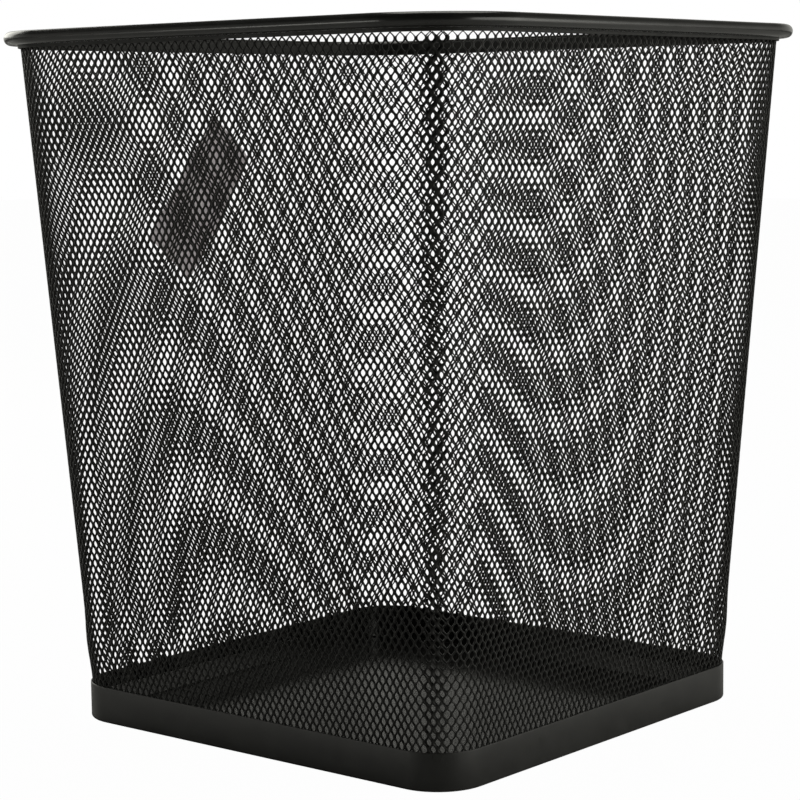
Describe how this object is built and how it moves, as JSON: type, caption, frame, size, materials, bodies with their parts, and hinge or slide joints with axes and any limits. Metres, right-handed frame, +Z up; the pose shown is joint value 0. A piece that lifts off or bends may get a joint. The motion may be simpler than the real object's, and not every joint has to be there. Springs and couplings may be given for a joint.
{
  "type": "square mesh wastebasket",
  "caption": "Tapered square wastebasket of expanded steel mesh, with a round tube rim, a plain sheet band around the base and a flat floor pan.",
  "frame": {"origin": "centre of the square footprint, on the floor the basket stands on", "axes": "+Z up to the mouth, -Y out of the front wall, +X out of the right wall; the mesh's lap seam is on the corner between them"},
  "size_m": [0.285, 0.285, 0.32],
  "materials": {
    "mesh": "satin black",
    "rim": "gloss black",
    "binding": "satin black",
    "band": "satin black",
    "pan": "gloss black",
    "label": "matt, blank paper"
  },
  "bodies": {
    "root": {"wall_mesh": "mesh", "rim_tube": "rim", "rim_binding": "binding", "base_band": "band", "floor_pan": "pan", "label": "label"}
  },
  "joints": []
}
